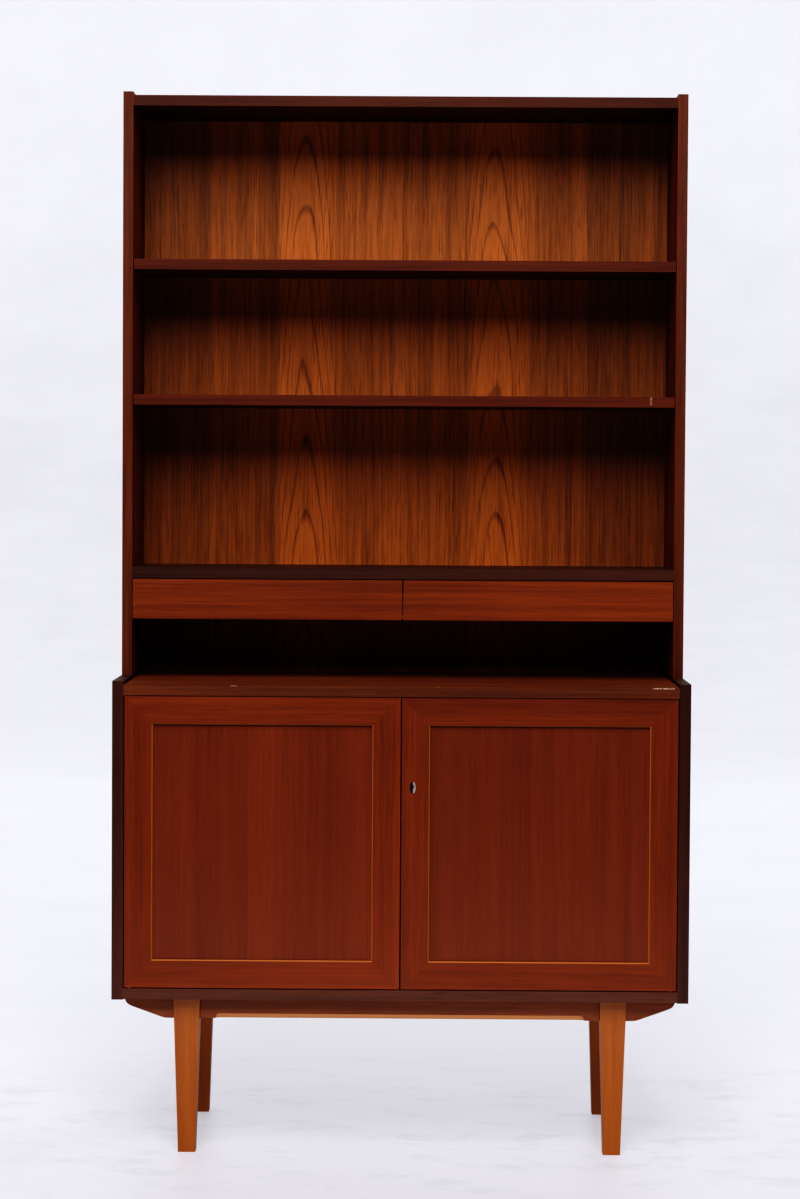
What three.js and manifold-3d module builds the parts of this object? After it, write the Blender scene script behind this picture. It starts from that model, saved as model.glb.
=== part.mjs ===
// Two-piece bookcase: a shallow open upper case with two adjustable shelves and two drawers
// stands on a deeper lower case with two lockable framed doors, carried by a tapered-leg base.
// Millimetres. +Z up, front towards -Y, origin under the middle of the whole piece.
import * as THREE from "three";
import { mergeVertices } from "three/addons/utils/BufferGeometryUtils.js";
import Module from "manifold-3d";

// ---- driving dimensions -------------------------------------------------------------------
const WIDTH = 970;
const LOWER_DEPTH = 400;
const UPPER_DEPTH = 235;
const HEIGHT = 1805;

const LOWER_SIDE = 19;
const UPPER_SIDE = 17;
const BOARD = 18;
const BACK = 6;
const BACK_INSET = 7;
const BACK_GROOVE = 6;
const FIT = 0.3;

const BASE_TOP = 264;
const LOWER_SIDE_TOP = 801;
const LOWER_TOP_Z = 795;
const LOWER_BOTTOM_Z = 265;

const UPPER_TOP_Z = 1799;
const SHELF_TOPS = [1519, 1286];
const FIXED_SHELF_TOP = 988;
const FIXED_SHELF_THICK = 19;

const DRAWER_FRONT_HEIGHT = 69;
const DRAWER_FRONT_THICK = 18;
const DRAWER_SIDE = 8;
const DRAWER_DEPTH = 186;
const DRAWER_FLOOR = 4;
const CASE_BOTTOM_TOP = 912;
const CASE_BOTTOM_THICK = 12;
const CASE_BOTTOM_INSET = 45;
const DIVIDER = 10;

const DOOR_THICK = 18;
const DOOR_INSET = 1.5;
const DOOR_SIDE_GAP = 1.5;
const DOOR_MID_GAP = 2;
const DOOR_BOTTOM = 284.5;
const DOOR_TOP = 776;
const FRAME = 47.5;
const PANEL_THICK = 8;
const PANEL_RECESS = 6;
const PANEL_TONGUE = 8;
const FRAME_CHAMFER = 2.2;

const PIVOT_IN = 8.5;
const PIVOT_BACK = 5;
const PIVOT_R = 2.5;
const PIVOT_REACH = 8;
const PIVOT_PLAY = 0.09;

const KEY_X = 20;
const KEY_Z = 625;
const KEY_PLATE = { halfWidth: 4.9, halfHeight: 10, thick: 0.9 };

const HOLE_R = 1.8;
const HOLE_DEPTH = 10;
const HOLE_PITCH = 32;
const WIRE_R = 1.5;
const WIRE_OUT = 3.2;
const WIRE_FRONT = 42;
const WIRE_BACK = 188;
const WIRE_ROW = 9;

const LEG_X = 360;
const LEG_TOP = 45;
const LEG_FOOT = 29;
const LEG_FRONT_Y = 44.5;
const LEG_REAR_Y = 375.5;
const RAIL_HEIGHT = 36;
const RAIL_THICK = 22;
const RAIL_END = 20;
const CHAMFER = 8.5;
const CHAMFER_HALF = 314;

// ---- derived planes -----------------------------------------------------------------------
const HALF = WIDTH / 2;
const YF = -LOWER_DEPTH / 2;
const YB = LOWER_DEPTH / 2;
const YU = YB - UPPER_DEPTH;
const LOWER_IN = HALF - LOWER_SIDE;
const UPPER_IN = HALF - UPPER_SIDE;
const BACK_FACE = YB - BACK_INSET - BACK;

// ---- finishes -----------------------------------------------------------------------------
function finish(color, roughness, metalness) {
  return new THREE.MeshStandardMaterial({ color, roughness, metalness });
}
const TEAK = finish(0x8a4a22, 0.5, 0);
const TEAK_DARK = finish(0x5e2f1c, 0.5, 0);
const TEAK_BACK = finish(0xa4622a, 0.55, 0);
const TEAK_DOOR = finish(0x8c3f1c, 0.5, 0);
const BEECH = finish(0xa45c26, 0.5, 0);
const PLY = finish(0xb08a5c, 0.7, 0);
const NICKEL = finish(0xb9b4aa, 0.3, 1);
const STEEL = finish(0x8f9092, 0.4, 1);
const BRASS = finish(0xb08a3e, 0.35, 1);

// ---- solid helpers ------------------------------------------------------------------------
const wasm = await Module();
wasm.setup();

function toSolid(geometry) {
  let g = geometry.clone();
  g.deleteAttribute("normal");
  g.deleteAttribute("uv");
  g = mergeVertices(g, 1e-4);
  const mesh = new wasm.Mesh({
    numProp: 3,
    vertProperties: new Float32Array(g.attributes.position.array),
    triVerts: new Uint32Array(g.index.array),
  });
  return new wasm.Manifold(mesh);
}

function toGeometry(solid) {
  const mesh = solid.getMesh();
  const g = new THREE.BufferGeometry();
  g.setAttribute("position", new THREE.BufferAttribute(new Float32Array(mesh.vertProperties), 3));
  g.setIndex(new THREE.BufferAttribute(new Uint32Array(mesh.triVerts), 1));
  g.computeVertexNormals();
  return g;
}

function boxGeometry(x0, x1, y0, y1, z0, z1) {
  const g = new THREE.BoxGeometry(x1 - x0, y1 - y0, z1 - z0);
  g.translate((x0 + x1) / 2, (y0 + y1) / 2, (z0 + z1) / 2);
  return g;
}

function boxSolid(x0, x1, y0, y1, z0, z1) {
  return toSolid(boxGeometry(x0, x1, y0, y1, z0, z1));
}

function rodGeometry(radius, length, axis, x, y, z, sides) {
  const g = new THREE.CylinderGeometry(radius, radius, length, sides);
  if (axis === "x") g.rotateZ(Math.PI / 2);
  if (axis === "z") g.rotateX(Math.PI / 2);
  g.translate(x, y, z);
  return g;
}

// Outline in the X-Z plane, pushed back along +Y from y0 by depth.
function slabGeometry(points, y0, depth) {
  const shape = new THREE.Shape(points.map(([x, z]) => new THREE.Vector2(x, z)));
  const g = new THREE.ExtrudeGeometry(shape, { depth, bevelEnabled: false });
  g.rotateX(Math.PI / 2);
  g.translate(0, y0 + depth, 0);
  return g;
}

const part = new THREE.Group();
part.name = "bookcase";

function add(name, geometry, material) {
  const mesh = new THREE.Mesh(geometry, material);
  mesh.name = name;
  part.add(mesh);
}

function addBox(name, material, x0, x1, y0, y1, z0, z1) {
  add(name, boxGeometry(x0, x1, y0, y1, z0, z1), material);
}

function cutAll(solid, cutters) {
  let out = solid;
  for (const cutter of cutters) out = out.subtract(cutter);
  return out;
}

// ---- side panels with rows of blind holes -------------------------------------------------
function holeRows(face, sign, ys, zFirst, zLast) {
  const cutters = [];
  for (const y of ys) {
    for (let z = zFirst; z <= zLast + 0.1; z += HOLE_PITCH) {
      const x = sign * (face + HOLE_DEPTH / 2 - 0.5);
      cutters.push(toSolid(rodGeometry(HOLE_R, HOLE_DEPTH + 1, "x", x, y, z, 8)));
    }
  }
  return cutters;
}

const upperHoleYs = [YU + WIRE_FRONT, YU + WIRE_BACK];
const upperHoleStart = SHELF_TOPS[1] - WIRE_ROW - 7 * HOLE_PITCH;
const LOWER_SHELF_TOP = 530;
const LOWER_SHELF_FRONT = YF + 50;
const lowerHoleYs = [LOWER_SHELF_FRONT + 50, LOWER_SHELF_FRONT + 280];
const lowerHoleStart = LOWER_SHELF_TOP - WIRE_ROW - 4 * HOLE_PITCH;
const backCutUpper = boxSolid(
  -UPPER_IN - BACK_GROOVE - FIT, UPPER_IN + BACK_GROOVE + FIT,
  BACK_FACE - 0.1, BACK_FACE + BACK + 0.1, LOWER_SIDE_TOP - 5, UPPER_TOP_Z - BOARD + 6 + FIT);
const backCutLower = boxSolid(
  -LOWER_IN - BACK_GROOVE - FIT, LOWER_IN + BACK_GROOVE + FIT,
  BACK_FACE - 0.1, BACK_FACE + BACK + 0.1, LOWER_BOTTOM_Z + BOARD - 6, LOWER_TOP_Z - BOARD + 6);

// The hole rows reach above and below both upper shelves.
for (const [label, sign] of [["left", -1], ["right", 1]]) {
  const xs = [sign * UPPER_IN, sign * HALF].sort((a, b) => a - b);
  let panel = boxSolid(xs[0], xs[1], YU, YB, LOWER_SIDE_TOP, HEIGHT);
  panel = cutAll(panel, holeRows(UPPER_IN, sign, upperHoleYs, upperHoleStart, SHELF_TOPS[1] + 40));
  panel = cutAll(panel, holeRows(
    UPPER_IN, sign, upperHoleYs, SHELF_TOPS[0] - WIRE_ROW - 4 * HOLE_PITCH, SHELF_TOPS[0] + 180));
  panel = panel.subtract(backCutUpper);
  add(`upper_side_${label}`, toGeometry(panel), TEAK);

  const ls = [sign * LOWER_IN, sign * HALF].sort((a, b) => a - b);
  let lower = boxSolid(ls[0], ls[1], YF, YB, BASE_TOP, LOWER_SIDE_TOP);
  lower = cutAll(lower, holeRows(
    LOWER_IN, sign, lowerHoleYs, lowerHoleStart, LOWER_SHELF_TOP + 4 * HOLE_PITCH));
  lower = lower.subtract(backCutLower);
  add(`lower_side_${label}`, toGeometry(lower), TEAK_DARK);
}

// ---- upper case ---------------------------------------------------------------------------
let upperTop = boxSolid(-UPPER_IN, UPPER_IN, YU, YB, UPPER_TOP_Z - BOARD, UPPER_TOP_Z);
upperTop = upperTop.subtract(backCutUpper);
add("upper_top_board", toGeometry(upperTop), TEAK);
// The back reaches down between the lower rims to close the niche.
const upperBack = boxSolid(
  -UPPER_IN - BACK_GROOVE, UPPER_IN + BACK_GROOVE,
  BACK_FACE, BACK_FACE + BACK, LOWER_SIDE_TOP, UPPER_TOP_Z - BOARD + 6,
).add(boxSolid(
  -LOWER_IN + FIT, LOWER_IN - FIT,
  BACK_FACE, BACK_FACE + BACK, LOWER_TOP_Z + FIT, LOWER_SIDE_TOP + 1));
add("upper_back_panel", toGeometry(upperBack), TEAK_BACK);
const CASE_BACK = BACK_FACE - 0.3;
const FIXED_UNDER = FIXED_SHELF_TOP - FIXED_SHELF_THICK;
const CASE_BOTTOM_UNDER = CASE_BOTTOM_TOP - CASE_BOTTOM_THICK;
addBox("fixed_shelf", TEAK_DARK, -UPPER_IN, UPPER_IN, YU + 1, CASE_BACK,
  FIXED_UNDER, FIXED_SHELF_TOP);
addBox("drawer_case_bottom", PLY, -UPPER_IN, UPPER_IN, YU + CASE_BOTTOM_INSET, CASE_BACK,
  CASE_BOTTOM_UNDER, CASE_BOTTOM_TOP);
addBox("drawer_divider", PLY, -DIVIDER / 2, DIVIDER / 2,
  YU + CASE_BOTTOM_INSET, CASE_BACK, CASE_BOTTOM_TOP, FIXED_UNDER);

// ---- adjustable shelves on hidden bent wires ----------------------------------------------
// The wire goes into the side panel at both ends; its straight run lies in the shelf's end slot.
function wirePath(sign, face, y0, y1, z) {
  const path = new THREE.CurvePath();
  const inX = sign * (face + HOLE_DEPTH - 2);
  const outX = sign * (face - WIRE_OUT);
  const bend = 3;
  const v = (x, y) => new THREE.Vector3(x, y, z);
  const turnX = outX + sign * bend;
  path.add(new THREE.LineCurve3(v(inX, y0), v(turnX, y0)));
  path.add(new THREE.QuadraticBezierCurve3(v(turnX, y0), v(outX, y0), v(outX, y0 + bend)));
  path.add(new THREE.LineCurve3(v(outX, y0 + bend), v(outX, y1 - bend)));
  path.add(new THREE.QuadraticBezierCurve3(v(outX, y1 - bend), v(outX, y1), v(turnX, y1)));
  path.add(new THREE.LineCurve3(v(turnX, y1), v(inX, y1)));
  return path;
}

// Round bar swept through the bends with a constant cross-section, closed at both ends.
function wireGeometry(sign, face, y0, y1, z) {
  const path = wirePath(sign, face, y0, y1, z);
  const centre = [];
  for (const curve of path.curves) {
    const count = curve.isLineCurve3 ? 1 : 4;
    const start = centre.length ? 1 : 0;
    for (let i = start; i <= count; i += 1) {
      const p = curve.getPoint(i / count);
      const t = curve.getTangent(i / count);
      centre.push([p, t]);
    }
  }
  const SIDES = 8;
  const up = new THREE.Vector3(0, 0, 1);
  const pos = [];
  const index = [];
  for (const [p, t] of centre) {
    const side = new THREE.Vector3().crossVectors(up, t).normalize();
    for (let k = 0; k < SIDES; k += 1) {
      const a = (2 * Math.PI * k) / SIDES;
      const q = p.clone().addScaledVector(side, WIRE_R * Math.cos(a));
      q.addScaledVector(up, WIRE_R * Math.sin(a));
      pos.push(q.x, q.y, q.z);
    }
  }
  const rings = centre.length;
  for (let r = 0; r < rings - 1; r += 1) {
    for (let k = 0; k < SIDES; k += 1) {
      const a = r * SIDES + k;
      const b = r * SIDES + ((k + 1) % SIDES);
      index.push(a, a + SIDES, b, b, a + SIDES, b + SIDES);
    }
  }
  for (let k = 1; k < SIDES - 1; k += 1) {
    index.push(0, k, k + 1);
    const e = (rings - 1) * SIDES;
    index.push(e, e + k + 1, e + k);
  }
  const g = new THREE.BufferGeometry();
  g.setAttribute("position", new THREE.Float32BufferAttribute(pos, 3));
  g.setIndex(index);
  return orientOut(g);
}

// Flip the winding when the signed volume is negative.
function orientOut(g) {
  const p = g.attributes.position;
  const idx = g.index.array;
  const a = new THREE.Vector3();
  const b = new THREE.Vector3();
  const c = new THREE.Vector3();
  let volume = 0;
  for (let i = 0; i < idx.length; i += 3) {
    a.fromBufferAttribute(p, idx[i]);
    b.fromBufferAttribute(p, idx[i + 1]);
    c.fromBufferAttribute(p, idx[i + 2]);
    volume += a.dot(b.cross(c));
  }
  if (volume < 0) {
    for (let i = 0; i < idx.length; i += 3) {
      const keep = idx[i];
      idx[i] = idx[i + 1];
      idx[i + 1] = keep;
    }
  }
  g.computeVertexNormals();
  return g;
}

function addShelf(name, face, y0, y1, top, wireY0, wireY1, material) {
  const half = face - 1;
  let shelf = boxSolid(-half, half, y0, y1, top - BOARD, top);
  const slot = WIRE_R + FIT;
  for (const [label, sign] of [["left", -1], ["right", 1]]) {
    const xs = [sign * (face - WIRE_OUT - WIRE_R - 1), sign * (face + 1)].sort((a, b) => a - b);
    shelf = shelf.subtract(boxSolid(
      xs[0], xs[1], wireY0 - WIRE_R - 2, y1 + 1,
      top - WIRE_ROW - slot, top - WIRE_ROW + slot));
    add(`${name}_wire_${label}`, wireGeometry(sign, face, wireY0, wireY1, top - WIRE_ROW), STEEL);
  }
  add(name, toGeometry(shelf), material);
}

SHELF_TOPS.forEach((top, i) => {
  addShelf(`upper_shelf_${i + 1}`, UPPER_IN, YU + 6, BACK_FACE - 2, top,
    YU + WIRE_FRONT, YU + WIRE_BACK, TEAK);
});
addShelf("lower_shelf", LOWER_IN, LOWER_SHELF_FRONT, BACK_FACE - 2, LOWER_SHELF_TOP,
  lowerHoleYs[0], lowerHoleYs[1], TEAK);

// ---- drawers ------------------------------------------------------------------------------
const FRONT_TOP = FIXED_UNDER - 1.5;
const FRONT_BOTTOM = FRONT_TOP - DRAWER_FRONT_HEIGHT;
const DRAWER_Y0 = YU + 2 + DRAWER_FRONT_THICK;
const DRAWER_Y1 = DRAWER_Y0 + DRAWER_DEPTH;
const DRAWER_Z0 = CASE_BOTTOM_TOP + 0.4;
const DRAWER_Z1 = FIXED_UNDER - 5;
const FLOOR_Z = DRAWER_Z0 + 5;
const FLOOR_GROOVE = 4;

for (const [label, sign] of [["left", -1], ["right", 1]]) {
  const span = (near, far) => [sign * near, sign * far].sort((a, b) => a - b);
  const near = DIVIDER / 2 + 1;
  const far = UPPER_IN - 1;
  const floor = span(near + DRAWER_SIDE - FLOOR_GROOVE, far - DRAWER_SIDE + FLOOR_GROOVE);
  const floorCut = boxSolid(
    floor[0] - FIT, floor[1] + FIT, DRAWER_Y0 - 5 - FIT, DRAWER_Y1 + 1,
    FLOOR_Z - 0.15, FLOOR_Z + DRAWER_FLOOR + 0.15);
  const front = span(DOOR_MID_GAP / 2, UPPER_IN - 1);
  const frontSolid = boxSolid(
    front[0], front[1], YU + 2, DRAWER_Y0, FRONT_BOTTOM, FRONT_TOP).subtract(floorCut);
  add(`drawer_${label}_front`, toGeometry(frontSolid), TEAK);
  const inner = span(near, near + DRAWER_SIDE);
  const outer = span(far - DRAWER_SIDE, far);
  for (const [place, xs] of [["inner_side", inner], ["outer_side", outer]]) {
    const side = boxSolid(xs[0], xs[1], DRAWER_Y0, DRAWER_Y1, DRAWER_Z0, DRAWER_Z1);
    add(`drawer_${label}_${place}`, toGeometry(side.subtract(floorCut)), PLY);
  }
  const back = span(near + DRAWER_SIDE, far - DRAWER_SIDE);
  addBox(`drawer_${label}_back`, PLY, back[0], back[1], DRAWER_Y1 - DRAWER_SIDE, DRAWER_Y1,
    FLOOR_Z + DRAWER_FLOOR + 0.2, DRAWER_Z1 - 4);
  addBox(`drawer_${label}_floor`, PLY, floor[0], floor[1], DRAWER_Y0 - 5, DRAWER_Y1,
    FLOOR_Z, FLOOR_Z + DRAWER_FLOOR);
}

// ---- lower case ---------------------------------------------------------------------------
const DOOR_Y0 = YF + DOOR_INSET;
const DOOR_Y1 = DOOR_Y0 + DOOR_THICK;
const PIVOT_X = LOWER_IN - DOOR_SIDE_GAP - PIVOT_IN;
const PIVOT_Y = DOOR_Y0 + PIVOT_BACK;

function pinHole(sign, zc, length) {
  return toSolid(rodGeometry(PIVOT_R + PIVOT_PLAY, length, "z", sign * PIVOT_X, PIVOT_Y, zc, 24));
}

const PIN_SET = 8;
let lowerTop = boxSolid(-LOWER_IN, LOWER_IN, YF, YB, LOWER_TOP_Z - BOARD, LOWER_TOP_Z);
let lowerBottom = boxSolid(-LOWER_IN, LOWER_IN, YF, YB, LOWER_BOTTOM_Z, LOWER_BOTTOM_Z + BOARD);
for (const sign of [-1, 1]) {
  lowerTop = lowerTop.subtract(pinHole(sign, LOWER_TOP_Z - BOARD, 2 * (PIN_SET + FIT)));
  lowerBottom = lowerBottom.subtract(pinHole(sign, LOWER_BOTTOM_Z + BOARD, 2 * (PIN_SET + FIT)));
}
lowerTop = lowerTop.subtract(backCutLower);
lowerBottom = lowerBottom.subtract(backCutLower);
add("lower_top_board", toGeometry(lowerTop), TEAK_DARK);
add("lower_bottom_board", toGeometry(lowerBottom), TEAK_DARK);
addBox("lower_back_panel", PLY, -LOWER_IN - BACK_GROOVE, LOWER_IN + BACK_GROOVE,
  BACK_FACE, BACK_FACE + BACK, LOWER_BOTTOM_Z + BOARD - 5.7, LOWER_TOP_Z - BOARD + 5.7);
addBox("door_stop_block", TEAK_DARK, -35, 35, DOOR_Y1 + 0.5, DOOR_Y1 + 14,
  LOWER_TOP_Z - BOARD - 12, LOWER_TOP_Z - BOARD);

// ---- framed doors -------------------------------------------------------------------------
const LOCK = { x0: 1.4, x1: 38, y0: DOOR_Y1 - 12, z0: KEY_Z - 26, z1: KEY_Z + 26 };
const BOLT = { x0: 1.8, x1: 27, y0: LOCK.y0 + 3, y1: LOCK.y0 + 8, z0: KEY_Z + 3, z1: KEY_Z + 15 };
const BOLT_THROW = 7;
const STRIKE = { thick: 1.5, y0: LOCK.y0 - 0.5, y1: DOOR_Y1 - 1.5, z0: KEY_Z - 14, z1: KEY_Z + 28 };

function frameCutters(sign, panel) {
  const cutters = [];
  cutters.push(boxSolid(
    panel[0] - FIT, panel[1] + FIT, panel[2] - 0.15, panel[3] + 0.15,
    panel[4] - FIT, panel[5] + FIT));
  const reach = PIVOT_REACH + FIT;
  cutters.push(pinHole(sign, DOOR_TOP, 2 * reach));
  cutters.push(pinHole(sign, DOOR_BOTTOM, 2 * reach));
  return cutters;
}

// Funnel that eases the frame's inner front arris all round the panel.
function openingFunnel(x0, x1, z0, z1) {
  const over = 0.5;
  const grow = FRAME_CHAMFER + over;
  const g = new THREE.BoxGeometry(x1 - x0, grow, z1 - z0);
  const p = g.attributes.position;
  for (let i = 0; i < p.count; i += 1) {
    if (p.getY(i) < 0) {
      p.setX(i, p.getX(i) + Math.sign(p.getX(i)) * grow);
      p.setZ(i, p.getZ(i) + Math.sign(p.getZ(i)) * grow);
    }
  }
  g.translate((x0 + x1) / 2, DOOR_Y0 - over + grow / 2, (z0 + z1) / 2);
  return toSolid(g);
}

for (const [label, sign] of [["left", -1], ["right", 1]]) {
  const near = DOOR_MID_GAP / 2;
  const far = LOWER_IN - DOOR_SIDE_GAP;
  const outline = (points) => slabGeometry(
    points.map(([x, z]) => [sign * x, z]), DOOR_Y0, DOOR_THICK);
  const zi0 = DOOR_BOTTOM + FRAME;
  const zi1 = DOOR_TOP - FRAME;
  const xi0 = near + FRAME;
  const xi1 = far - FRAME;
  const panelX = [sign * (xi0 - PANEL_TONGUE), sign * (xi1 + PANEL_TONGUE)].sort((a, b) => a - b);
  const panelY = DOOR_Y0 + PANEL_RECESS;
  const panel = [panelX[0], panelX[1], panelY, panelY + PANEL_THICK,
    zi0 - PANEL_TONGUE, zi1 + PANEL_TONGUE];
  const innerX = [sign * xi0, sign * xi1].sort((a, b) => a - b);
  const cutters = frameCutters(sign, panel);
  cutters.push(openingFunnel(innerX[0], innerX[1], zi0, zi1));
  const pieces = {
    lock_stile: [[near, DOOR_BOTTOM], [xi0, zi0], [xi0, zi1], [near, DOOR_TOP]],
    hinge_stile: [[far, DOOR_BOTTOM], [far, DOOR_TOP], [xi1, zi1], [xi1, zi0]],
    top_rail: [[near, DOOR_TOP], [xi0, zi1], [xi1, zi1], [far, DOOR_TOP]],
    bottom_rail: [[near, DOOR_BOTTOM], [far, DOOR_BOTTOM], [xi1, zi0], [xi0, zi0]],
  };
  for (const [piece, points] of Object.entries(pieces)) {
    let member = cutAll(toSolid(orientOut(mergeVertices(bare(outline(points)), 1e-4))), cutters);
    if (piece === "lock_stile" && label === "right") {
      member = member.subtract(boxSolid(
        near - 1, LOCK.x1 + FIT, LOCK.y0 - FIT, DOOR_Y1 + 1, LOCK.z0 - FIT, LOCK.z1 + FIT));
      member = member.subtract(toSolid(rodGeometry(3, 12, "y", KEY_X, DOOR_Y0 + 4, KEY_Z + 1, 12)));
    }
    if (piece === "lock_stile" && label === "left") {
      member = member.subtract(boxSolid(
        -near - STRIKE.thick - 0.1, 0, STRIKE.y0 - 0.1, STRIKE.y1 + 0.1,
        STRIKE.z0 - 0.1, STRIKE.z1 + 0.1));
      member = member.subtract(boxSolid(
        -near - 12, 0, BOLT.y0 - 1, BOLT.y1 + 1, BOLT.z0 - 1, BOLT.z1 + 1));
    }
    add(`door_${label}_${piece}`, toGeometry(member), TEAK_DOOR);
  }
  addBox(`door_${label}_panel`, TEAK_DOOR, ...panel);
  for (const [place, z] of [["top", LOWER_TOP_Z - BOARD], ["bottom", LOWER_BOTTOM_Z + BOARD]]) {
    const up = place === "top" ? 1 : -1;
    const doorEnd = place === "top" ? DOOR_TOP - PIVOT_REACH : DOOR_BOTTOM + PIVOT_REACH;
    const caseEnd = z + up * PIN_SET;
    const length = Math.abs(caseEnd - doorEnd);
    add(`door_${label}_pivot_${place}`,
      rodGeometry(PIVOT_R, length, "z", sign * PIVOT_X, PIVOT_Y, (caseEnd + doorEnd) / 2, 24),
      BRASS);
  }
}

function bare(g) {
  g.deleteAttribute("normal");
  g.deleteAttribute("uv");
  return g;
}

// ---- lock in the right door ---------------------------------------------------------------
let lockCase = boxSolid(LOCK.x0, LOCK.x1, LOCK.y0, DOOR_Y1 - 0.2, LOCK.z0, LOCK.z1);
lockCase = lockCase.subtract(boxSolid(
  LOCK.x0 - 1, BOLT.x1 + 2, BOLT.y0 - FIT, BOLT.y1 + FIT, BOLT.z0 - FIT, BOLT.z1 + FIT));
lockCase = lockCase.subtract(toSolid(
  rodGeometry(2.2, 8, "y", KEY_X, LOCK.y0 + 3, KEY_Z - 1.5, 12)));
add("lock_case", toGeometry(lockCase), STEEL);
addBox("lock_bolt", BRASS, BOLT.x0, BOLT.x1, BOLT.y0, BOLT.y1, BOLT.z0, BOLT.z1);
const strike = boxSolid(
  -DOOR_MID_GAP / 2 - STRIKE.thick, -DOOR_MID_GAP / 2, STRIKE.y0, STRIKE.y1,
  STRIKE.z0, STRIKE.z1).subtract(boxSolid(
  -12, 0, BOLT.y0 - 0.8, BOLT.y1 + 0.8, BOLT.z0 - 0.8, BOLT.z1 + 0.8));
add("strike_plate", toGeometry(strike), BRASS);

function escutcheonGeometry() {
  const shape = new THREE.Shape();
  shape.absellipse(0, 0, KEY_PLATE.halfWidth, KEY_PLATE.halfHeight, 0, 2 * Math.PI, false, 0);
  const hole = new THREE.Path();
  hole.absarc(0, 1.8, 1.7, -Math.PI * 0.3, Math.PI * 1.3, false);
  hole.lineTo(-0.9, -3.6);
  hole.lineTo(0.9, -3.6);
  hole.closePath();
  shape.holes.push(hole);
  const g = new THREE.ExtrudeGeometry(shape, {
    depth: KEY_PLATE.thick, bevelEnabled: false, curveSegments: 24 });
  g.rotateX(Math.PI / 2);
  g.translate(KEY_X, DOOR_Y0, KEY_Z);
  return g;
}
add("escutcheon", escutcheonGeometry(), NICKEL);

// ---- base: rails with swept-up ends, tapered legs bridled over them -------------------------
const railHalf = HALF - RAIL_END;
const sweep = [[0, 6], [2, 10], [6, 13.7], [14, 17.2], [62, 34.3], [67, 35.6], [73, RAIL_HEIGHT]];

function railSolid(y0) {
  const points = [[-railHalf, BASE_TOP]];
  for (const [d, h] of sweep) points.push([-railHalf + d, BASE_TOP - h]);
  for (const [d, h] of [...sweep].reverse()) points.push([railHalf - d, BASE_TOP - h]);
  points.push([railHalf, BASE_TOP]);
  return toSolid(orientOut(mergeVertices(bare(slabGeometry(points, y0, RAIL_THICK)), 1e-4)));
}

// Stopped chamfer on one lower arris, running out in a curve at both ends.
function chamferCutter(y, outward) {
  const stations = [];
  const run = 12;
  for (let i = 0; i <= 5; i += 1) {
    const t = i / 5;
    stations.push([-CHAMFER_HALF + run * (1 - Math.cos(t * Math.PI / 2)), t]);
  }
  const mirrored = stations.map(([x, t]) => [-x, t]).reverse();
  const all = [...stations, ...mirrored];
  const pos = [];
  const index = [];
  const margin = 1;
  const z = BASE_TOP - RAIL_HEIGHT;
  for (const [x, t] of all) {
    const s = Math.max(CHAMFER * Math.sin(t * Math.PI / 2), 0.05) + margin;
    pos.push(x, y + outward * margin, z - margin);
    pos.push(x, y + outward * margin, z + s);
    pos.push(x, y - outward * s, z - margin);
  }
  for (let r = 0; r < all.length - 1; r += 1) {
    for (let k = 0; k < 3; k += 1) {
      const a = 3 * r + k;
      const b = 3 * r + ((k + 1) % 3);
      index.push(a, a + 3, b, b, a + 3, b + 3);
    }
  }
  const e = 3 * (all.length - 1);
  index.push(0, 1, 2, e, e + 2, e + 1);
  const g = new THREE.BufferGeometry();
  g.setAttribute("position", new THREE.Float32BufferAttribute(pos, 3));
  g.setIndex(index);
  return toSolidIndexed(orientOut(g));
}

function toSolidIndexed(g) {
  g.deleteAttribute("normal");
  const mesh = new wasm.Mesh({
    numProp: 3,
    vertProperties: new Float32Array(g.attributes.position.array),
    triVerts: new Uint32Array(g.index.array),
  });
  return new wasm.Manifold(mesh);
}

const FRONT_RAIL_Y = YF + LEG_FRONT_Y - RAIL_THICK / 2;
const REAR_RAIL_Y = YF + LEG_REAR_Y - RAIL_THICK / 2;
const frontRail = railSolid(FRONT_RAIL_Y).subtract(chamferCutter(FRONT_RAIL_Y, -1));
const rearRail = railSolid(REAR_RAIL_Y);
add("base_front_rail", toGeometry(frontRail), TEAK_DARK);
add("base_rear_rail", toGeometry(rearRail), TEAK_DARK);

const TENON = { width: 10, height: 22, length: 9 };
function legGeometry(sign, yc) {
  const a = LEG_TOP / 2;
  const b = LEG_FOOT / 2;
  const x = sign * LEG_X;
  const y = YF + yc;
  const g = new THREE.BoxGeometry(LEG_TOP, LEG_TOP, BASE_TOP);
  g.translate(0, 0, BASE_TOP / 2);
  const p = g.attributes.position;
  for (let i = 0; i < p.count; i += 1) {
    if (p.getZ(i) < 1) p.setXY(i, (p.getX(i) * b) / a, (p.getY(i) * b) / a);
  }
  g.translate(x, y, 0);
  return g;
}

for (const [end, yc, railY] of [
  ["front", LEG_FRONT_Y, FRONT_RAIL_Y], ["rear", LEG_REAR_Y, REAR_RAIL_Y]]) {
  for (const [label, sign] of [["left", -1], ["right", 1]]) {
    let leg = toSolid(legGeometry(sign, yc));
    leg = leg.subtract(boxSolid(
      sign * LEG_X - 40, sign * LEG_X + 40, railY - 0.15, railY + RAIL_THICK + 0.15,
      BASE_TOP - RAIL_HEIGHT - 0.3, BASE_TOP + 1));
    const inner = end === "front" ? 1 : -1;
    const face = YF + yc + inner * (LEG_TOP / 2);
    const ys = [face - inner * (TENON.length + 0.3), face + inner * 5].sort((p, q) => p - q);
    leg = leg.subtract(boxSolid(
      sign * LEG_X - TENON.width / 2 - 0.15, sign * LEG_X + TENON.width / 2 + 0.15,
      ys[0], ys[1], BASE_TOP - 6 - TENON.height - 0.15, BASE_TOP - 6 + 0.15));
    add(`leg_${end}_${label}`, toGeometry(leg), BEECH);
  }
}

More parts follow.
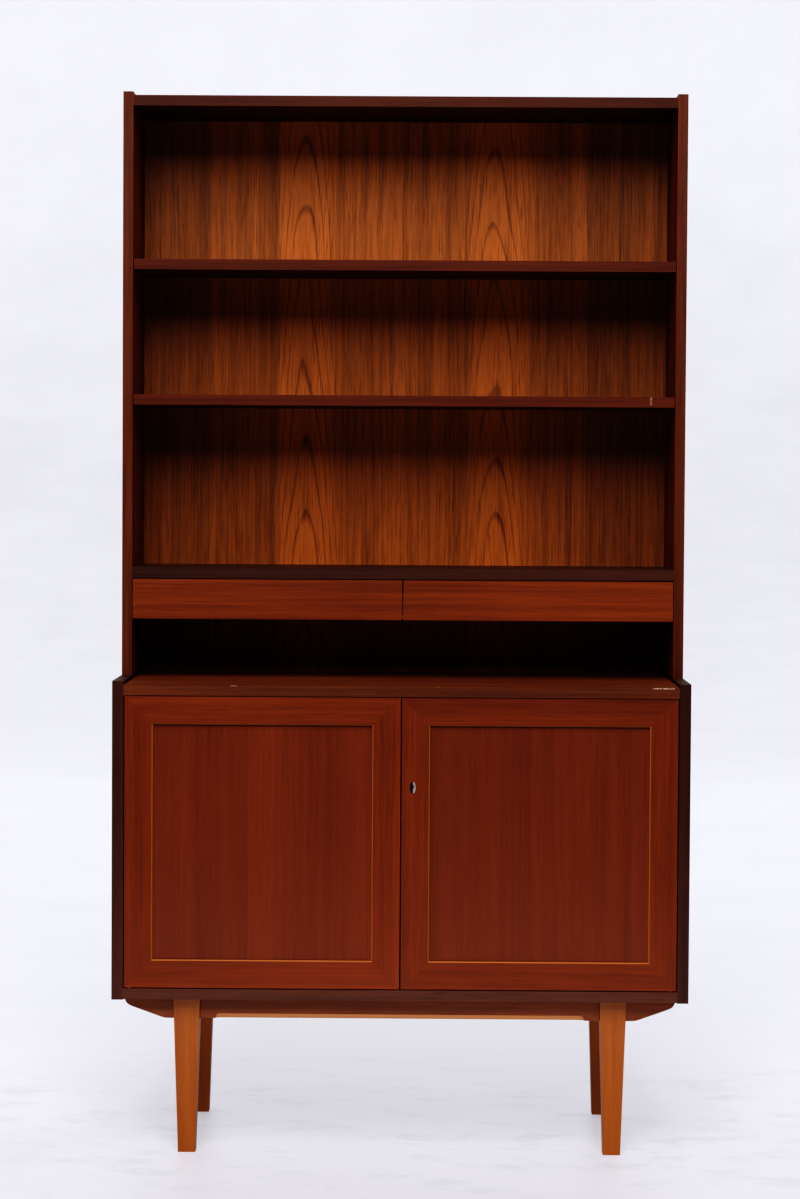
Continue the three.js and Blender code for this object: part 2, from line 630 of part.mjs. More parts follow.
for (const [label, sign] of [["left", -1], ["right", 1]]) {
  const y0 = YF + LEG_FRONT_Y + LEG_TOP / 2 + 0.1;
  const y1 = YF + LEG_REAR_Y - LEG_TOP / 2 - 0.1;
  const x0 = sign * LEG_X - RAIL_THICK / 2;
  const body = boxSolid(x0, x0 + RAIL_THICK, y0, y1, BASE_TOP - RAIL_HEIGHT, BASE_TOP);
  const tenon = boxSolid(
    sign * LEG_X - TENON.width / 2, sign * LEG_X + TENON.width / 2,
    y0 - TENON.length, y1 + TENON.length, BASE_TOP - 6 - TENON.height, BASE_TOP - 6);
  add(`base_side_rail_${label}`, toGeometry(body.add(tenon)), TEAK_DARK);
}

export default part;
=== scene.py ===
import math

import bpy
from mathutils import Matrix, Vector

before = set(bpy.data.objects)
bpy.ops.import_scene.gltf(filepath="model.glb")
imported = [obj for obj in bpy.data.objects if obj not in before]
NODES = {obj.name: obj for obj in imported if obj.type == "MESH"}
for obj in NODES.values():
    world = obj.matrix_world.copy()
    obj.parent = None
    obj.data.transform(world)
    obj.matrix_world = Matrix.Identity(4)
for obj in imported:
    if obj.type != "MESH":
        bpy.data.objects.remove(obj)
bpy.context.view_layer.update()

FLOOR_HALF = 14.0
BACKDROP_Y = 9.0
BACKDROP_RADIUS = 3.0
BACKDROP_STEPS = 12


def box(name):
    """Lowest and highest corner of one CAD node, in metres."""
    corners = [vertex.co for vertex in NODES[name].data.vertices]
    return [Vector([pick(corner[i] for corner in corners) for i in range(3)])
            for pick in (min, max)]


# ---- places on the piece that the materials follow, in metres ----------------------------------
# The small offsets keep the edge of a tint off the face beside it.
FAR_FRONT_Y, FAR_REAR_Y = -0.3, 0.5
UPPER_SIDE_LOW = box("upper_side_right")[0]
UPPER_FRONT_Y = UPPER_SIDE_LOW.y
UPPER_INNER_FACE_X = UPPER_SIDE_LOW.x + 0.0005
UPPER_BACK_REAR_Y = box("upper_back_panel")[0].y + 0.0015
MIDDLE_SHELF_TOP_Z = box("upper_shelf_2")[1].z
LOWER_FRONT_Y = box("lower_top_board")[0].y
LEDGE_TOP_Z = box("lower_top_board")[1].z
KEY_PLATE_LOW, KEY_PLATE_HIGH = box("escutcheon")
KEY_PLATE_MIDDLE_X = (KEY_PLATE_LOW.x + KEY_PLATE_HIGH.x) / 2 + 0.0003
DOOR_FRONT_Y = box("door_left_top_rail")[0].y
ARRIS_WIDTH = 0.0035
ARRIS_FRONT_Y = DOOR_FRONT_Y + 0.00015
ARRIS_BACK_Y = DOOR_FRONT_Y + 0.0025
RAIL_LOW = box("base_front_rail")[0]
RAIL_FRONT_Y = RAIL_LOW.y + 0.0001
RAIL_MIDDLE_Y = RAIL_LOW.y + 0.0165
CHAMFER_LOW_Z = RAIL_LOW.z + 0.0003
CHAMFER_HIGH_Z = RAIL_LOW.z + 0.0082
CHAMFER_HALF_LENGTH = 0.312


def door_window(side):
    """Where a door frame's eased inner arris starts: low x, high x, low z, high z."""
    low, inner = box(f"door_{side}_bottom_rail")
    high = box(f"door_{side}_top_rail")[1]
    inset = inner.z - low.z - ARRIS_WIDTH
    return low.x + inset, high.x - inset, low.z + inset, high.z - inset


# ---- small node-building helper --------------------------------------------------------------
class Graph:
    """Builds one node material from short calls; each call returns an output socket."""

    def __init__(self, name):
        self.mat = bpy.data.materials.new(name)
        self.mat.use_nodes = True
        self.tree = self.mat.node_tree
        self.shader = self.tree.nodes["Principled BSDF"]
        self.coord = self.node("ShaderNodeTexCoord").outputs["Object"]

    def node(self, kind, **values):
        made = self.tree.nodes.new(kind)
        for key, value in values.items():
            setattr(made, key, value)
        return made

    def plug(self, source, target):
        if isinstance(source, bpy.types.NodeSocket):
            self.tree.links.new(source, target)
        else:
            target.default_value = source

    def math(self, op, a, b=0.0, c=None):
        made = self.node("ShaderNodeMath", operation=op)
        self.plug(a, made.inputs[0])
        self.plug(b, made.inputs[1])
        if c is not None:
            self.plug(c, made.inputs[2])
        return made.outputs[0]

    def place(self, scale, shift=(0, 0, 0), vector=None):
        made = self.node("ShaderNodeMapping")
        self.plug(vector or self.coord, made.inputs["Vector"])
        made.inputs["Scale"].default_value = scale
        made.inputs["Location"].default_value = shift
        return made.outputs[0]

    def noise(self, vector, detail=4.0, rough=0.55):
        made = self.node("ShaderNodeTexNoise")
        self.plug(vector, made.inputs["Vector"])
        made.inputs["Scale"].default_value = 1.0
        made.inputs["Detail"].default_value = detail
        made.inputs["Roughness"].default_value = rough
        return made.outputs["Fac"]

    def ramp(self, fac, stops, smooth=True):
        made = self.node("ShaderNodeValToRGB")
        self.plug(fac, made.inputs["Fac"])
        ramp = made.color_ramp
        if smooth:
            ramp.interpolation = "EASE"
        while len(ramp.elements) < len(stops):
            ramp.elements.new(0.5)
        for element, (place, value) in zip(ramp.elements, stops):
            element.position = place
            colour = value if isinstance(value, tuple) else (value,) * 3
            element.color = (*colour, 1.0)
        return made.outputs["Color"]

    def mix(self, fac, a, b, blend="MIX"):
        made = self.node("ShaderNodeMix", data_type="RGBA", blend_type=blend)
        self.plug(fac, made.inputs["Factor"])
        for value, socket in ((a, made.inputs["A"]), (b, made.inputs["B"])):
            self.plug((*value, 1.0) if isinstance(value, tuple) else value, socket)
        return made.outputs["Result"]

    def split(self, vector=None):
        made = self.node("ShaderNodeSeparateXYZ")
        self.plug(vector or self.coord, made.inputs[0])
        return made.outputs

    def bump(self, height, strength, distance):
        made = self.node("ShaderNodeBump")
        made.inputs["Strength"].default_value = strength
        made.inputs["Distance"].default_value = distance
        self.plug(height, made.inputs["Height"])
        return made.outputs["Normal"]


def along(axis, cross, length):
    """Texture scale: cross over the two directions across the grain, length along it."""
    return tuple(length if a == axis else cross for a in "xyz")


def band(g, value, low, high, soft):
    """1 where low < value < high, with edges that are soft metres wide."""
    rise = g.math("MULTIPLY_ADD", value, 1.0 / soft, -low / soft)
    rise.node.use_clamp = True
    fall = g.math("MULTIPLY_ADD", value, -1.0 / soft, high / soft)
    fall.node.use_clamp = True
    return g.math("MULTIPLY", rise, fall)


# ---- colours, in linear RGB: darkest and lightest grain of each timber -------------------------
UPPER_DARK = (0.0420, 0.0098, 0.0038)
UPPER_LIGHT = (0.105, 0.0259, 0.0084)
SHELF_DARK = (0.0420, 0.0077, 0.0024)
SHELF_LIGHT = (0.102, 0.0182, 0.0049)
LID_DARK = (0.0270, 0.0055, 0.0022)
LID_LIGHT = (0.0660, 0.0135, 0.0045)
TOP_DARK = (0.0700, 0.0182, 0.0070)
TOP_LIGHT = (0.147, 0.0392, 0.0126)
BOTTOM_DARK = (0.0392, 0.0133, 0.0086)
BOTTOM_LIGHT = (0.0902, 0.0298, 0.0165)
RAIL_DARK = (0.112, 0.0305, 0.0132)
RAIL_LIGHT = (0.213, 0.0609, 0.0244)
# Paler wood with a painted highlight from the floor, on the front rail's chamfer.
CHAMFER_PALE_AND_LIT = (0.462, 0.208, 0.0847)
LOWER_DARK = (0.0223, 0.0074, 0.0052)
LOWER_LIGHT = (0.0519, 0.0163, 0.0096)
BACK_DARK = (0.114, 0.0333, 0.0079)
BACK_LIGHT = (0.369, 0.119, 0.0264)
FRAME_DARK = (0.0782, 0.0136, 0.0035)
FRAME_LIGHT = (0.164, 0.0319, 0.0064)
PANEL_DARK = (0.0768, 0.0145, 0.0048)
PANEL_LIGHT = (0.136, 0.0273, 0.0078)
DRAWER_DARK = (0.0907, 0.0166, 0.0038)
DRAWER_LIGHT = (0.178, 0.0378, 0.0071)
LEG_DARK = (0.176, 0.0470, 0.0086)
LEG_LIGHT = (0.270, 0.0847, 0.0165)
# Painted light: the rear legs and side rails take a lighter copy of the leg colours, for the light
# that reaches them under the case.
LIT_REAR_LEG_DARK = (0.209, 0.0564, 0.0146)
LIT_REAR_LEG_LIGHT = (0.328, 0.100, 0.0246)
PLY_DARK = (0.330, 0.190, 0.0900)
PLY_LIGHT = (0.520, 0.340, 0.180)
BACKING_DARK = (0.170, 0.0850, 0.0400)
BACKING_LIGHT = (0.260, 0.140, 0.0680)
# Painted highlight: a paler line on the eased arris round each door panel.
ARRIS_HIGHLIGHT = (0.322, 0.119, 0.0315)
ARRIS_HIGHLIGHT_SHARE = 0.7
WORN = (0.40, 0.26, 0.19)
# Painted shade on the key plate's half next to the meeting of the doors.
KEY_PLATE_SHADE = (0.03, 0.025, 0.02)
# Painted light on the inner faces of the upper sides.
INNER_FACE_PAINTED_LIGHT = (2.3, 1.9, 1.7)

# Veneer leaves: seam places in x, and the tone of the leaf that starts at each seam. The outer
# leaves are also darker as painted shade, for the light falling off towards the sides.
BACK_SEAMS = [-0.48, -0.352, -0.227, -0.108, 0.004, 0.110, 0.232, 0.324, 0.48]
BACK_TONES_AND_SIDE_SHADE = [0.64, 0.86, (1.04, 1.02, 1.0), 1.0, 0.96, (1.02, 1.0, 1.0), 0.86, 0.62, 0.62]
PANEL_SEAMS = [-0.48, -0.258, -0.202, 0.0]
PANEL_TONES = [1.0, (1.20, 1.22, 1.15), 1.05, 1.0]
FLAME_CENTRES_X = (-0.167, 0.173)

# Rubbed marks on front edges: (x, half length, reach below the top edge, strength).
SHELF_MARKS = [(0.426, 0.0024, 0.014, 0.4)]
LEDGE_MARKS = [(0.434, 0.016, 0.0025, 0.95), (0.452, 0.006, 0.0025, 0.9),
               (-0.281, 0.007, 0.0020, 0.4), (0.06, 0.004, 0.0015, 0.25)]

# How the back veneer gets darker and redder towards the bottom.
DEEPEN_FROM_Z = 1.02
DEEPEN_HEIGHT = 0.56
DEEPEN_TINTS = ((0.84, 0.74, 0.66), (1.04, 1.02, 1.04))


# ---- wood ------------------------------------------------------------------------------------
SEED_STEPS = (1.7, 2.3, 3.1)  # shift of the pattern in x, y and z for one step of seed
# Texture scales as (across the grain, along it), in cells per metre.
WANDER_SCALE = (5.0, 1.2)
FINE_SCALE = (190.0, 3.0)
PORE_SCALE = (900.0, 16.0)
MOTTLE_SCALE = (7.0, 2.0)
BROAD_ALONG = 0.7
WANDER_METRES = 0.02
FIGURE_SHARE = 0.34
GRAIN_SHARE_UNDER_FIGURE = 0.74
PORE_DEPTH_OF_TONE = 0.35
SHEEN = 0.14
GLOSS_SWING = 0.16
GRAIN_RELIEF_METRES = 0.0004
GRAIN_BUMP_STRENGTH = 0.28
PORE_STOPS = [(0.50, 0.0), (0.68, 1.0)]


def wood(name, dark, light, axis="z", seed=0.0, figure=None, rough=0.50, pore=0.35,
         streak=26.0, extra=None, variation=0.14, spread=0.20, broad_share=0.55):
    """Open-grained timber: broad streaks, fine pores, mottled tone and a satin oiled sheen."""
    g = Graph(name)
    shift = tuple(seed * step for step in SEED_STEPS)
    wander = g.noise(g.place(along(axis, *WANDER_SCALE), shift), detail=2.0)
    warp = g.node("ShaderNodeVectorMath", operation="SCALE")
    g.plug(wander, warp.inputs[0])
    warp.inputs["Scale"].default_value = WANDER_METRES
    moved = g.node("ShaderNodeVectorMath", operation="ADD")
    g.plug(g.coord, moved.inputs[0])
    g.plug(warp.outputs[0], moved.inputs[1])
    base = moved.outputs[0]
    broad = g.noise(g.place(along(axis, streak, BROAD_ALONG), shift, base), detail=3.0)
    fine = g.noise(g.place(along(axis, *FINE_SCALE), shift, base), detail=4.0, rough=0.65)
    pores = g.noise(g.place(along(axis, *PORE_SCALE), shift, base), detail=3.0, rough=0.7)
    tone = g.math("MULTIPLY_ADD", broad, broad_share, g.math("MULTIPLY", fine, 1 - broad_share))
    if figure:
        rings = figure(g, base)
        grain = g.math("MULTIPLY", tone, GRAIN_SHARE_UNDER_FIGURE)
        tone = g.math("MULTIPLY_ADD", rings, FIGURE_SHARE, grain)
    colour = g.mix(g.ramp(tone, [(0.5 - spread, 0.0), (0.5 + spread, 1.0)]), dark, light)
    pits = g.ramp(pores, PORE_STOPS)
    pit_colour = tuple(c * PORE_DEPTH_OF_TONE for c in dark)
    colour = g.mix(g.math("MULTIPLY", pits, pore), colour, pit_colour)
    mottle = g.noise(g.place(along(axis, *MOTTLE_SCALE), shift), detail=3.0)
    shade = g.ramp(mottle, [(0.3, 1.0 - variation), (0.7, 1.0 + variation)], smooth=False)
    colour = g.mix(1.0, colour, shade, "MULTIPLY")
    if extra:
        colour = extra(g, colour)
    g.plug(colour, g.shader.inputs["Base Color"])
    gloss = g.math("MULTIPLY_ADD", fine, GLOSS_SWING, rough - GLOSS_SWING / 2)
    g.plug(gloss, g.shader.inputs["Roughness"])
    g.shader.inputs["Specular IOR Level"].default_value = SHEEN
    height = g.math("MULTIPLY_ADD", pits, -0.8, g.math("MULTIPLY", fine, 0.35))
    g.plug(g.bump(height, GRAIN_BUMP_STRENGTH, GRAIN_RELIEF_METRES), g.shader.inputs["Normal"])
    return g.mat


FLAME_PITCH = 0.135  # metres from one arch to the next
FLAME_STEEPNESS = 150.0
FLAME_CORE = (0.024, 0.070)  # metres from the centre line at which the arches fade
FLAME_WAVER = 2.2
RING_STOPS = [(0.0, 0.25), (0.10, 0.80), (0.80, 1.0), (1.0, 0.25)]


def cathedral(centres):
    """Nested pointed arches up each centre line, running out into straight grain at the sides."""

    def figure(g, vector):
        x, _, z = g.split(vector)
        nearest = None
        for centre in centres:
            gap = g.math("ABSOLUTE", g.math("SUBTRACT", x, centre))
            nearest = gap if nearest is None else g.math("MINIMUM", nearest, gap)
        wave = g.noise(g.place((13.0, 1.0, 3.0), (3.1, 0, 0)), detail=1.5)
        arch = g.math("MULTIPLY", g.math("MULTIPLY", nearest, nearest),
                      FLAME_STEEPNESS / FLAME_PITCH)
        value = g.math("MULTIPLY_ADD", z, 1.0 / FLAME_PITCH, arch)
        rings = g.math("FRACT", g.math("MULTIPLY_ADD", wave, FLAME_WAVER, value))
        core = g.ramp(nearest, [(FLAME_CORE[0], 1.0), (FLAME_CORE[1], 0.0)])
        ring_tone = g.ramp(rings, RING_STOPS)
        return g.mix(core, (0.5, 0.5, 0.5), ring_tone)

    return figure


def leaf_tones(seams, tones):
    """Veneer leaves: each stretch between two seams has a tone of its own."""

    def extra(g, colour):
        x = g.split()[0]
        low, high = seams[0], seams[-1]
        fac = g.math("MULTIPLY_ADD", x, 1.0 / (high - low), -low / (high - low))
        stops = [((s - low) / (high - low), t) for s, t in zip(seams, tones)]
        made = g.ramp(fac, stops, smooth=False)
        made.node.color_ramp.interpolation = "CONSTANT"
        return g.mix(1.0, colour, made, "MULTIPLY")

    return extra


def both(*extras):
    """Apply several extras one after the other."""

    def extra(g, colour):
        for one in extras:
            colour = one(g, colour)
        return colour

    return extra


def deeper_below(g, colour):
    """The veneer is a little redder and darker lower down."""
    fac = g.math("MULTIPLY_ADD", g.split()[2], 1.0 / DEEPEN_HEIGHT, -DEEPEN_FROM_Z / DEEPEN_HEIGHT)
    shade = g.ramp(fac, [(0.0, DEEPEN_TINTS[0]), (1.0, DEEPEN_TINTS[1])], smooth=False)
    return g.mix(1.0, colour, shade, "MULTIPLY")


def plain_rear(g, colour):
    """The rear face of a veneered back is bare backing wood."""
    y = g.split()[1]
    dull = g.noise(g.place(along("z", 30.0, 2.0)), detail=4.0)
    backing = g.mix(g.ramp(dull, [(0.3, 0.0), (0.7, 1.0)]), BACKING_DARK, BACKING_LIGHT)
    return g.mix(band(g, y, UPPER_BACK_REAR_Y, FAR_REAR_Y, 0.0004), colour, backing)


def scratches(spots):
    """Pale rubbed marks, each (x, half length, low z, high z, last y, strength)."""

    def extra(g, colour):
        x, y, z = g.split()
        ragged = g.noise(g.place((420.0, 60.0, 420.0)), detail=3.0)
        broken = g.ramp(ragged, [(0.38, 0.0), (0.55, 1.0)])
        for centre, half, low, high, last_y, strength in spots:
            mask = band(g, x, centre - half, centre + half, half * 0.4)
            mask = g.math("MULTIPLY", mask, band(g, z, low, high, 0.0006))
            mask = g.math("MULTIPLY", mask, band(g, y, FAR_FRONT_Y, last_y, 0.001))
            mask = g.math("MULTIPLY", mask, g.math("MULTIPLY", broken, strength))
            colour = g.mix(mask, colour, WORN)
        return colour

    return extra


def painted_arris_highlight(x_near, x_far, z_low, z_high):
    """Painted highlight: a paler line on the eased arris round the door panel, where it catches the
    light.
    """

    def extra(g, colour):
        x, y, z = g.split()
        behind = band(g, y, ARRIS_FRONT_Y, ARRIS_BACK_Y, 0.0003)
        inside_x = band(g, x, x_near, x_far, 0.0005)
        inside_z = band(g, z, z_low, z_high, 0.0005)
        mask = g.math("MULTIPLY", behind, g.math("MULTIPLY", inside_x, inside_z))
        return g.mix(g.math("MULTIPLY", mask, ARRIS_HIGHLIGHT_SHARE), colour, ARRIS_HIGHLIGHT)

    return extra


def lit_inner_face(g, colour):
    """Painted light: the inner face of an upper side is redder and lighter than the rest, for the
    light it catches inside the compartments.
    """
    x, _, _ = g.split()
    mask = band(g, g.math("ABSOLUTE", x), 0.0, UPPER_INNER_FACE_X, 0.0003)
    return g.mix(mask, colour, g.mix(1.0, colour, INNER_FACE_PAINTED_LIGHT, "MULTIPLY"))


def pale_and_floor_lit_chamfer(g, colour):
    """The stopped chamfer under the front rail shows paler wood, with a painted highlight added for
    the light it catches from the floor it faces.
    """
    x, y, z = g.split()
    height = band(g, z, CHAMFER_LOW_Z, CHAMFER_HIGH_Z, 0.0002)
    front = band(g, y, RAIL_FRONT_Y, RAIL_MIDDLE_Y, 0.0003)
    middle = band(g, x, -CHAMFER_HALF_LENGTH, CHAMFER_HALF_LENGTH, 0.002)
    mask = g.math("MULTIPLY", height, g.math("MULTIPLY", front, middle))
    return g.mix(mask, colour, CHAMFER_PALE_AND_LIT)


TARNISH_SHARE = 0.55
TARNISH_DEPTH = 0.55


def metal(name, colour, rough, grain=0.12, extra=None):
    """Brushed, lightly tarnished metal."""
    g = Graph(name)
    brushed = g.noise(g.place((90.0, 90.0, 2400.0)), detail=3.0)
    spots = g.noise(g.place((160.0, 160.0, 160.0)), detail=4.0)
    tint = g.mix(g.ramp(spots, [(0.45, 0.0), (0.75, TARNISH_SHARE)]), colour,
                 tuple(c * TARNISH_DEPTH for c in colour))
    if extra:
        tint = extra(g, tint)
    g.plug(tint, g.shader.inputs["Base Color"])
    g.shader.inputs["Metallic"].default_value = 1.0
    g.plug(g.math("MULTIPLY_ADD", brushed, grain * 2, rough - grain), g.shader.inputs["Roughness"])
    g.plug(g.bump(brushed, 0.15, 0.0001), g.shader.inputs["Normal"])
    return g.mat


def shaded_key_plate_half(g, colour):
    """Painted shade: the key plate is darkened on the side next to the meeting of the doors, for
    the dark side of its reflection.
    """
    x = g.split()[0]
    return g.mix(band(g, x, 0.0, KEY_PLATE_MIDDLE_X, 0.0006), colour, KEY_PLATE_SHADE)


def paint(name, material):
    mesh = NODES[name].data
    mesh.materials.clear()
    mesh.materials.append(material)


# ---- materials on the carried-over nodes -------------------------------------------------------
SIDES = ("left", "right")
for i, side in enumerate(SIDES):
    paint(f"upper_side_{side}", wood(f"teak_upper_side_{side}", UPPER_DARK, UPPER_LIGHT,
                                     seed=1.0 + i, extra=lit_inner_face))
    paint(f"lower_side_{side}", wood(f"teak_lower_side_{side}", LOWER_DARK, LOWER_LIGHT,
                                     seed=3.0 + i))
paint("upper_top_board", wood("teak_upper_top", LID_DARK, LID_LIGHT, "x", 5.0))
paint("upper_back_panel", wood(
    "teak_veneer_back", BACK_DARK, BACK_LIGHT, "z", 6.0, figure=cathedral(FLAME_CENTRES_X),
    extra=both(leaf_tones(BACK_SEAMS, BACK_TONES_AND_SIDE_SHADE), deeper_below, plain_rear),
    rough=0.46, streak=42.0, pore=0.6, broad_share=0.38, variation=0.10))
paint("fixed_shelf", wood("teak_fixed_shelf", LOWER_DARK, LOWER_LIGHT, "x", 7.0))
shelf_wear = scratches([
    (x, half, MIDDLE_SHELF_TOP_Z - reach, MIDDLE_SHELF_TOP_Z + 0.001, UPPER_FRONT_Y + 0.008,
     strength) for x, half, reach, strength in SHELF_MARKS])
ledge_wear = scratches([
    (x, half, LEDGE_TOP_Z - reach, LEDGE_TOP_Z + 0.0015, LOWER_FRONT_Y + 0.0025, strength)
    for x, half, reach, strength in LEDGE_MARKS])
paint("upper_shelf_1", wood("teak_shelf_1", SHELF_DARK, SHELF_LIGHT, "x", 8.0))
paint("upper_shelf_2", wood("teak_shelf_2", SHELF_DARK, SHELF_LIGHT, "x", 9.0,
                            extra=shelf_wear))
paint("lower_shelf", wood("teak_lower_shelf", UPPER_DARK, UPPER_LIGHT, "x", 10.0))
paint("lower_top_board", wood("teak_lower_top", TOP_DARK, TOP_LIGHT, "x", 11.0, extra=ledge_wear))
paint("lower_bottom_board", wood("teak_lower_bottom", BOTTOM_DARK, BOTTOM_LIGHT, "x", 12.0))
paint("door_stop_block", wood("teak_stop", LOWER_DARK, LOWER_LIGHT, "x", 13.0))
paint("base_front_rail", wood("teak_front_rail", RAIL_DARK, RAIL_LIGHT, "x", 14.0,
                              extra=pale_and_floor_lit_chamfer))
paint("base_rear_rail", wood("teak_rear_rail", UPPER_DARK, UPPER_LIGHT, "x", 15.0))
for i, side in enumerate(SIDES):
    paint(f"base_side_rail_{side}", wood(f"wood_side_rail_{side}", LIT_REAR_LEG_DARK,
                                         LIT_REAR_LEG_LIGHT, "y", 16.0 + i))
    paint(f"leg_front_{side}", wood(f"wood_leg_front_{side}", LEG_DARK, LEG_LIGHT, "z",
                                    18.0 + i, streak=55.0, pore=0.12, rough=0.4, spread=0.36,
                                    variation=0.07))
    paint(f"leg_rear_{side}", wood(f"wood_leg_rear_{side}", LIT_REAR_LEG_DARK, LIT_REAR_LEG_LIGHT,
                                   "z", 20.0 + i, streak=55.0, pore=0.12, spread=0.36))

PLY = {a: wood(f"plywood_{a}", PLY_DARK, PLY_LIGHT, a, 22.0, rough=0.6, pore=0.15)
       for a in "xyz"}
paint("lower_back_panel", PLY["z"])
paint("drawer_case_bottom", PLY["x"])
paint("drawer_divider", PLY["y"])
for i, side in enumerate(SIDES):
    paint(f"drawer_{side}_front", wood(f"teak_drawer_front_{side}", DRAWER_DARK, DRAWER_LIGHT,
                                       "x", 24.0, streak=60.0, variation=0.12))
    for piece, axis in (("inner_side", "y"), ("outer_side", "y"), ("back", "x"), ("floor", "x")):
        paint(f"drawer_{side}_{piece}", PLY[axis])

left_panel_leaves = leaf_tones(PANEL_SEAMS, PANEL_TONES)
for i, side in enumerate(SIDES):
    paint(f"door_{side}_panel", wood(
        f"teak_door_panel_{side}", PANEL_DARK, PANEL_LIGHT, "z", 26.0 + i, rough=0.48,
        streak=40.0, spread=0.50, variation=0.06, pore=0.22,
        extra=left_panel_leaves if side == "left" else None))
    for j, (piece, axis) in enumerate((("lock_stile", "z"), ("hinge_stile", "z"),
                                       ("top_rail", "x"), ("bottom_rail", "x"))):
        paint(f"door_{side}_{piece}", wood(
            f"teak_door_{side}_{piece}", FRAME_DARK, FRAME_LIGHT, axis, 30.0 + 4 * i + j,
            streak=48.0, spread=0.34, extra=painted_arris_highlight(*door_window(side))))

STEEL = metal("steel_bright", (0.50, 0.50, 0.51), 0.35)
BRASS = metal("brass_aged", (0.60, 0.42, 0.17), 0.32)
NICKEL_HALF_SHADED = metal("nickel_worn_half_shaded", (0.62, 0.58, 0.52), 0.16, 0.06, shaded_key_plate_half)
LOCK_STEEL = metal("lock_steel_dark", (0.06, 0.055, 0.05), 0.45)
for name in NODES:
    if "_wire_" in name:
        paint(name, STEEL)
    elif "_pivot_" in name or name in ("lock_bolt", "strike_plate"):
        paint(name, BRASS)
paint("escutcheon", NICKEL_HALF_SHADED)
paint("lock_case", LOCK_STEEL)

# ---- flat faces --------------------------------------------------------------------------------
# Bent wires, pivot pins and the lock case keep their smooth shading.
SMOOTH_WORDS = ("_wire_", "_pivot_", "lock_case")
for name in NODES:
    if not any(word in name for word in SMOOTH_WORDS):
        for face in NODES[name].data.polygons:
            face.use_smooth = False

# ---- floor, backdrop and light -------------------------------------------------------------------
STAGE_DARK = (0.838, 0.836, 0.893)
STAGE_LIGHT = (0.874, 0.872, 0.930)
STAGE_ROUGH = 0.35
STAGE_GLOW = 0.63
STAGE_ALBEDO = 0.22
# Painted shade towards the front of the floor.
FLOOR_FRONT_SHADE = (0.905, 0.885, 0.900)
SCUFF_SHARE = 0.75
SCUFF_DEPTH = 0.84


def stage_material():
    """Evenly lit white studio paint: part of its brightness is its own, so shadows stay faint."""
    g = Graph("studio_white")
    cloud = g.noise(g.place((0.9, 1.6, 0.9)), detail=5.0, rough=0.6)
    streaks = g.noise(g.place((2.5, 11.0, 2.5)), detail=5.0, rough=0.65)
    tone = g.math("MULTIPLY_ADD", cloud, 0.5, g.math("MULTIPLY", streaks, 0.5))
    paint_tone = g.mix(g.ramp(tone, [(0.35, 0.0), (0.62, 1.0)]), STAGE_DARK, STAGE_LIGHT)
    scuffs = g.noise(g.place((6.0, 10.0, 6.0)), detail=9.0, rough=0.72)
    marks = g.ramp(scuffs, [(0.50, 0.0), (0.64, 1.0)])
    depth = g.split()[1]
    near_floor = g.ramp(depth, [(0.0, 1.0), (1.0, 0.0)])
    # Painted shade: the floor is darker towards the front.
    front = g.ramp(g.math("MULTIPLY_ADD", depth, 0.5, 0.35), [(0.0, FLOOR_FRONT_SHADE), (1.0, 1.0)])
    paint_tone = g.mix(1.0, paint_tone, front, "MULTIPLY")
    marks = g.math("MULTIPLY", marks, g.math("MULTIPLY", near_floor, SCUFF_SHARE))
    paint_tone = g.mix(marks, paint_tone, tuple(c * SCUFF_DEPTH for c in STAGE_DARK))
    g.plug(g.mix(1.0, paint_tone, (STAGE_ALBEDO,) * 3, "MULTIPLY"), g.shader.inputs["Base Color"])
    g.plug(paint_tone, g.shader.inputs["Emission Color"])
    g.shader.inputs["Emission Strength"].default_value = STAGE_GLOW
    g.plug(g.math("MULTIPLY_ADD", streaks, 0.2, STAGE_ROUGH), g.shader.inputs["Roughness"])
    return g.mat


def sweep_backdrop():
    """Floor that curves up into a wall far behind the piece."""
    start = BACKDROP_Y - BACKDROP_RADIUS
    profile = [(-FLOOR_HALF, 0.0), (start, 0.0)]
    for step in range(1, BACKDROP_STEPS + 1):
        angle = math.pi / 2 * step / BACKDROP_STEPS
        profile.append((start + BACKDROP_RADIUS * math.sin(angle),
                        BACKDROP_RADIUS * (1 - math.cos(angle))))
    profile.append((BACKDROP_Y, FLOOR_HALF))
    verts = [(x, y, z) for y, z in profile for x in (-FLOOR_HALF, FLOOR_HALF)]
    faces = [(2 * i, 2 * i + 1, 2 * i + 3, 2 * i + 2) for i in range(len(profile) - 1)]
    mesh = bpy.data.meshes.new("studio_floor")
    mesh.from_pydata(verts, [], faces)
    for face in mesh.polygons:
        face.use_smooth = True
    made = bpy.data.objects.new("studio_floor", mesh)
    bpy.context.scene.collection.objects.link(made)
    mesh.materials.append(stage_material())


sweep_backdrop()

# name, place, point aimed at, size, watts, spread in degrees
AREA_LIGHTS = [
    ("key", (-0.1, -4.15, 4.85), (0, 0, 1.1), (2.4, 4.4), 715, 180),
    ("wall_left", (-5.5, 4.5, 4.5), (-1.5, 9, 2.2), (3.0, 3.0), 345, 180),
    ("wall_right", (5.5, 4.5, 4.5), (1.5, 9, 2.2), (3.0, 3.0), 345, 180),
    # Stands for light off the floor; the narrow spread keeps it off the floor beside it.
    ("low_fill", (0, -1.2, 0.08), (0, 0, 0.25), (1.6, 0.1), 1.0, 50),
    ("overhead", (0, 1.5, 6.0), (0, 1.5, 0), (7.0, 6.0), 165, 180),
]
WORLD_COLOUR = (0.93, 0.94, 1.0, 1.0)
WORLD_STRENGTH = 0.01


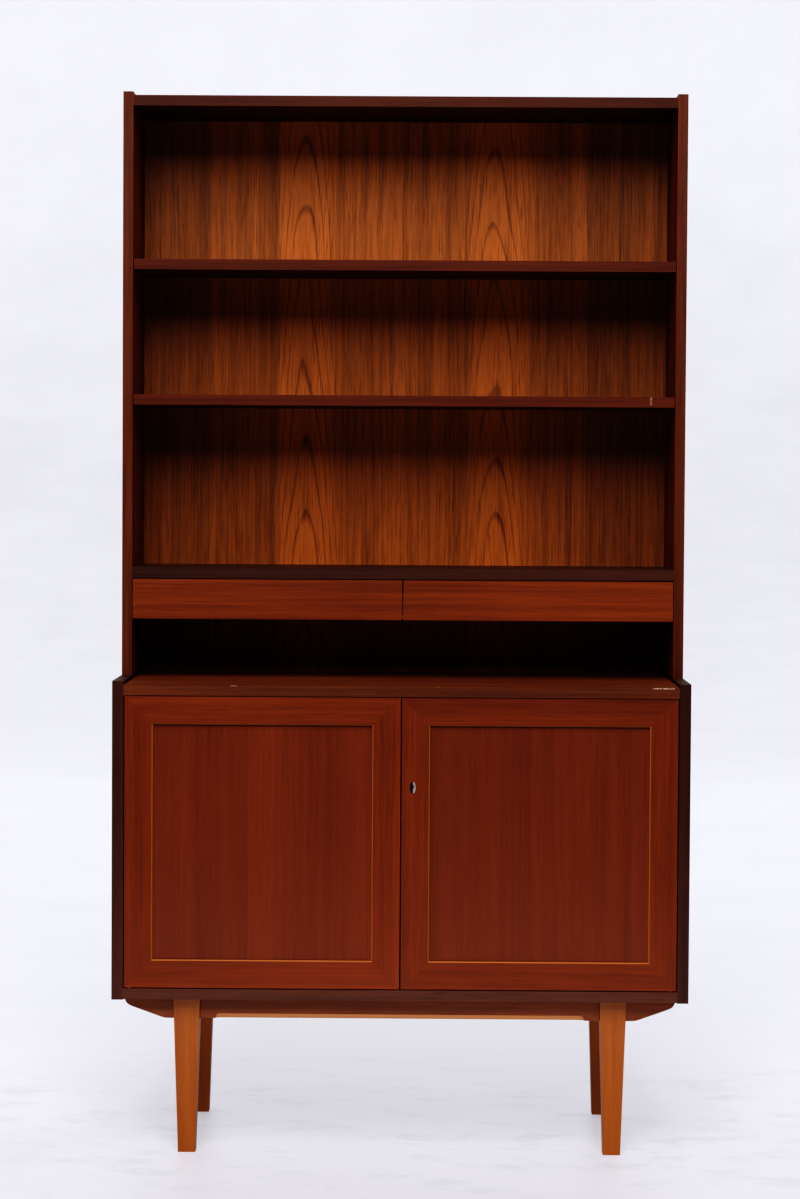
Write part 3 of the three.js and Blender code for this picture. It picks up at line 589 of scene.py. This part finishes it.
def area_light(name, place, aim, size, power, spread):
    data = bpy.data.lights.new(name, "AREA")
    data.shape = "RECTANGLE"
    data.size, data.size_y = size
    data.energy = power
    data.spread = math.radians(spread)
    made = bpy.data.objects.new(name, data)
    made.location = place
    made.rotation_mode = "QUATERNION"
    made.rotation_quaternion = (Vector(aim) - Vector(place)).to_track_quat("-Z", "Y")
    bpy.context.scene.collection.objects.link(made)


for light in AREA_LIGHTS:
    area_light(*light)

world = bpy.data.worlds.new("studio_world")
world.use_nodes = True
world.node_tree.nodes["Background"].inputs["Color"].default_value = WORLD_COLOUR
world.node_tree.nodes["Background"].inputs["Strength"].default_value = WORLD_STRENGTH
bpy.context.scene.world = world

# ---- camera ------------------------------------------------------------------------------------
SENSOR_MM = 36.0
LENS_MM = 91.0419
CLIP_END = 60.0
CAMERA_PLACE = Vector((0.0318, -5.2691, 1.1319))
YAW, PITCH, ROLL = -0.00697, -0.03771, 0.00612
camera_data = bpy.data.cameras.new("camera")
camera = bpy.data.objects.new("camera", camera_data)
bpy.context.scene.collection.objects.link(camera)
bpy.context.scene.camera = camera
camera_data.sensor_width = SENSOR_MM
camera_data.lens = LENS_MM
camera_data.clip_end = CLIP_END
forward = Vector((math.sin(YAW) * math.cos(PITCH), math.cos(YAW) * math.cos(PITCH),
                  math.sin(PITCH)))
level_right = Vector((math.cos(YAW), -math.sin(YAW), 0.0))
level_up = level_right.cross(forward)
right = level_right * math.cos(ROLL) + level_up * math.sin(ROLL)
up = level_up * math.cos(ROLL) - level_right * math.sin(ROLL)
rotation = Matrix((right, up, -forward)).transposed()
camera.matrix_world = Matrix.Translation(CAMERA_PLACE) @ rotation.to_4x4()

# ---- tone --------------------------------------------------------------------------------------
# A soft toe that deepens the shadows and keeps the whites: (brightness in, brightness out).
TONE_CURVE = [(0.05, 0.0115), (0.15, 0.077), (0.30, 0.215), (0.60, 0.55)]
COMBINED = 3
view = bpy.context.scene.view_settings
view.view_transform = "Standard"
view.use_curve_mapping = True
master = view.curve_mapping.curves[COMBINED]
for place, value in TONE_CURVE:
    master.points.new(place, value)
view.curve_mapping.update()
